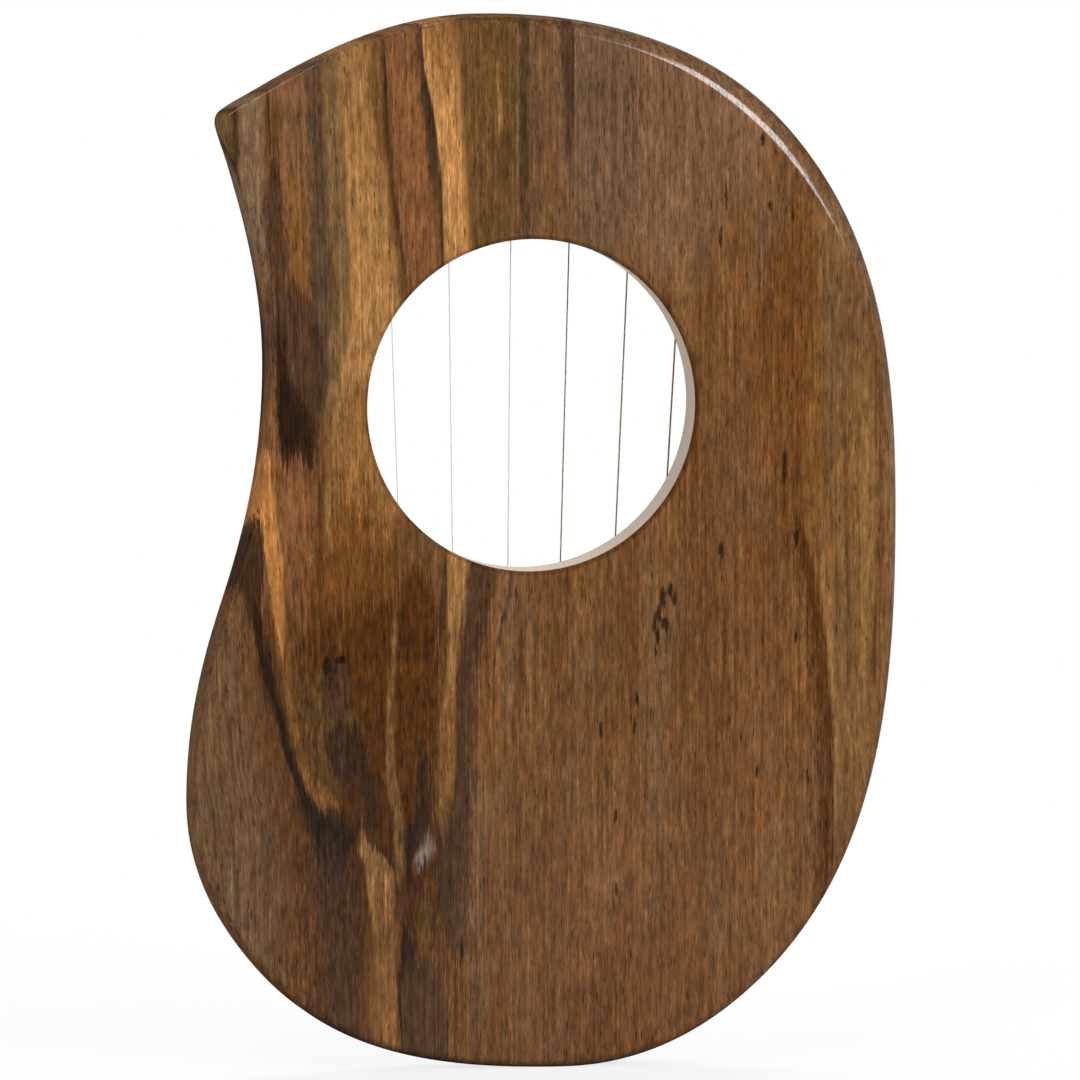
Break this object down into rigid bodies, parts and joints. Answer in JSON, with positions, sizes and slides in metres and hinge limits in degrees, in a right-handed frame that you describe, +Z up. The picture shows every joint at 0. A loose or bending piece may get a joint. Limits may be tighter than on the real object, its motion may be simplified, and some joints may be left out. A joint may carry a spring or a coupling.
{
  "type": "small harp",
  "caption": "Small hand-held harp: flat solid-wood plate with a waist, a pointed corner and a round hand hole, strings across the hole, wound on turning tuning pins.",
  "frame": {"origin": "centre of the round hole in the plate's back plane", "axes": "+X to the right seen from the back (the pictured side), +Y from the back to the string side, +Z up along the strings"},
  "size_m": [0.2367, 0.041, 0.3491],
  "materials": {
    "walnut": "satin varnish",
    "strip_wood": "oiled",
    "brass": "polished",
    "pin_steel": "nickel plated",
    "hitch_steel": "plain steel",
    "plain_string": "drawn steel wire",
    "wound_string": "bronze winding on steel"
  },
  "bodies": {
    "harp": {"body": "walnut", "nut": "strip_wood", "nut_rod": "brass", "bridge": "strip_wood", "bridge_rod": "brass", "hitch_pin_1": "hitch_steel", "hitch_pin_2": "hitch_steel", "hitch_pin_3": "hitch_steel", "hitch_pin_4": "hitch_steel", "hitch_pin_5": "hitch_steel", "hitch_pin_6": "hitch_steel", "string_1": "plain_string", "string_2": "plain_string", "string_3": "plain_string", "string_4": "wound_string", "string_5": "wound_string", "string_6": "wound_string"},
    "pin_1": {"tuning_pin_1": "pin_steel"},
    "pin_2": {"tuning_pin_2": "pin_steel"},
    "pin_3": {"tuning_pin_3": "pin_steel"},
    "pin_4": {"tuning_pin_4": "pin_steel"},
    "pin_5": {"tuning_pin_5": "pin_steel"},
    "pin_6": {"tuning_pin_6": "pin_steel"}
  },
  "joints": [
    {"name": "tune_1", "type": "hinge", "parent": "harp", "child": "pin_1", "pos_m": [-0.04756, 0.018, 0.10504], "axis": [0, -1, 0], "range_deg": [-1080, 30], "deforming": ["string_1"]},
    {"name": "tune_2", "type": "hinge", "parent": "harp", "child": "pin_2", "pos_m": [-0.02643, 0.018, 0.11011], "axis": [0, -1, 0], "range_deg": [-1080, 30], "deforming": ["string_2"]},
    {"name": "tune_3", "type": "hinge", "parent": "harp", "child": "pin_3", "pos_m": [-0.00436, 0.018, 0.1106], "axis": [0, -1, 0], "range_deg": [-1080, 30], "deforming": ["string_3"]},
    {"name": "tune_4", "type": "hinge", "parent": "harp", "child": "pin_4", "pos_m": [0.01628, 0.018, 0.10825], "axis": [0, -1, 0], "range_deg": [-1080, 30], "deforming": ["string_4"]},
    {"name": "tune_5", "type": "hinge", "parent": "harp", "child": "pin_5", "pos_m": [0.0371, 0.018, 0.10281], "axis": [0, -1, 0], "range_deg": [-1080, 30], "deforming": ["string_5"]},
    {"name": "tune_6", "type": "hinge", "parent": "harp", "child": "pin_6", "pos_m": [0.05504, 0.018, 0.09415], "axis": [0, -1, 0], "range_deg": [-1080, 30], "deforming": ["string_6"]}
  ]
}
